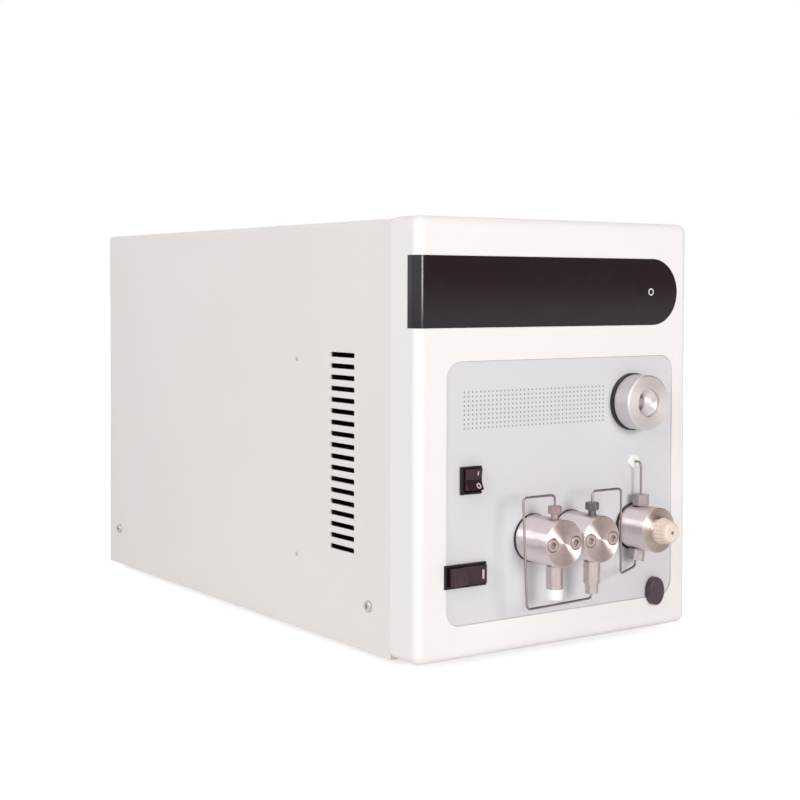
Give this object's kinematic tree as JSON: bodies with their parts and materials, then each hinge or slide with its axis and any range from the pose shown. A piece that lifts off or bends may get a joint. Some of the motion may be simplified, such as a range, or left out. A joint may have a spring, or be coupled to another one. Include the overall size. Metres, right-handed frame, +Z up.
{
  "type": "liquid chromatography pump",
  "caption": "Bench-top chromatography pump unit: white steel case with side louvres, wrap-round black window, grey plate with pump heads, purge valve, injection knob and rocker switches",
  "frame": {"origin": "centre of the footprint of the bounding box, on the surface the feet stand on", "axes": "+Z up, -Y towards the user (front plate), +X to the user's right"},
  "size_m": [0.2428, 0.5116, 0.2939],
  "materials": {
    "case_paint": "fine-textured baked enamel, pale warm grey-white",
    "bezel_paint": "satin white enamel on a moulded bezel",
    "plate_paint": "satin cool light grey, screen-printed dot field",
    "window_gloss": "near-black gloss acrylic",
    "ring_white": "translucent white light guide",
    "lcd_glass": "display glass in a black frame",
    "black_rubber": "matt black rubber",
    "zinc_screws": "bright stainless",
    "turned_steel": "fine-turned stainless steel, concentric tool marks on the faces",
    "dark_steel": "blackened knurled steel",
    "white_fluoropolymer": "white fluoropolymer",
    "cream_polymer": "cream engineering polymer",
    "turned_aluminium": "turned and clear-anodised aluminium",
    "bright_chrome": "polished insert",
    "valve_steel": "machined stainless steel",
    "tube_steel": "drawn stainless capillary",
    "switch_plastic": "black moulding",
    "rocker_plastic": "black gloss moulding with white marks",
    "ceramic_rod": "white ceramic rod on a steel carrier",
    "cast_alloy": "cast and machined alloy",
    "motor_black": "black enamel",
    "bracket_steel": "zinc-plated sheet",
    "board_green": "glass-epoxy board",
    "component_black": "black moulding",
    "pin_brass": "tinned brass"
  },
  "bodies": {
    "instrument": {"base_pan": "case_paint", "bezel_screws": "zinc_screws", "blanking_plug": "black_rubber", "board_parts": "component_black", "board_standoffs": "bracket_steel", "capillary_grommet": "white_fluoropolymer", "cover_rivets": "zinc_screws", "cover_screws": "zinc_screws", "display_window": "window_gloss", "drive_bracket": "bracket_steel", "drive_housing": "cast_alloy", "drive_motor": "motor_black", "fan_frame": "component_black", "fan_screws": "zinc_screws", "feet": "black_rubber", "foot_screws": "zinc_screws", "front_bezel": "bezel_paint", "front_plate": "plate_paint", "head_gaskets": "black_rubber", "head_screws": "zinc_screws", "injector_ring": "black_rubber", "injector_valve": "valve_steel", "inlet_nut": "white_fluoropolymer", "inlet_pins": "pin_brass", "inlet_screws": "zinc_screws", "inlet_valve": "turned_steel", "lcd_module": "lcd_glass", "main_board": "board_green", "mains_inlet": "component_black", "needle_port": "bright_chrome", "outlet_capillary": "tube_steel", "plunger_seals": "white_fluoropolymer", "power_supply": "bracket_steel", "power_switch": "switch_plastic", "pressure_sensor": "valve_steel", "primary_capillary": "tube_steel", "primary_head": "turned_steel", "primary_thumb_nut": "turned_steel", "purge_body": "turned_steel", "purge_gasket": "black_rubber", "purge_nuts": "turned_steel", "rear_panel": "case_paint", "rear_screws": "zinc_screws", "secondary_capillary": "tube_steel", "secondary_head": "turned_steel", "secondary_thumb_nut": "dark_steel", "status_ring": "ring_white", "top_cover": "case_paint", "transfer_capillary": "tube_steel", "transfer_fitting": "turned_steel", "transfer_valve": "turned_steel", "upper_switch": "switch_plastic"},
    "injector_knob": {"injector_knob": "turned_aluminium"},
    "purge_knob": {"purge_knob": "cream_polymer"},
    "upper_rocker": {"upper_rocker": "rocker_plastic"},
    "power_rocker": {"power_rocker": "rocker_plastic"},
    "primary_plunger": {"primary_plunger": "ceramic_rod"},
    "secondary_plunger": {"secondary_plunger": "ceramic_rod"},
    "fan_rotor": {"fan_rotor": "component_black"}
  },
  "joints": [
    {"name": "injector_turn", "type": "hinge", "parent": "instrument", "child": "injector_knob", "pos_m": [0.0658, -0.22625, 0.1682], "axis": [0, -1, 0], "range_deg": [0, 60]},
    {"name": "purge_turn", "type": "hinge", "parent": "instrument", "child": "purge_knob", "pos_m": [0.068, -0.24725, 0.0804], "axis": [0, -1, 0], "range_deg": [0, 180]},
    {"name": "upper_rocker_tilt", "type": "hinge", "parent": "instrument", "child": "upper_rocker", "pos_m": [-0.0767, -0.21425, 0.1227], "axis": [1, 0, 0], "range_deg": [0, 12]},
    {"name": "power_rocker_tilt", "type": "hinge", "parent": "instrument", "child": "power_rocker", "pos_m": [-0.0812, -0.21425, 0.0611], "axis": [0, 0, -1], "range_deg": [0, 12]},
    {"name": "primary_stroke", "type": "slide", "parent": "instrument", "child": "primary_plunger", "axis": [0, -1, 0], "range_m": [-0.004, 0.004]},
    {"name": "secondary_stroke", "type": "slide", "parent": "instrument", "child": "secondary_plunger", "axis": [0, -1, 0], "range_m": [-0.004, 0.004]},
    {"name": "fan_spin", "type": "hinge", "parent": "instrument", "child": "fan_rotor", "pos_m": [-0.058, 0.24175, 0.2109], "axis": [0, 1, 0], "continuous": true}
  ],
  "couplings": [
    {"joint": "secondary_stroke", "follows": "primary_stroke", "ratio": -1}
  ]
}
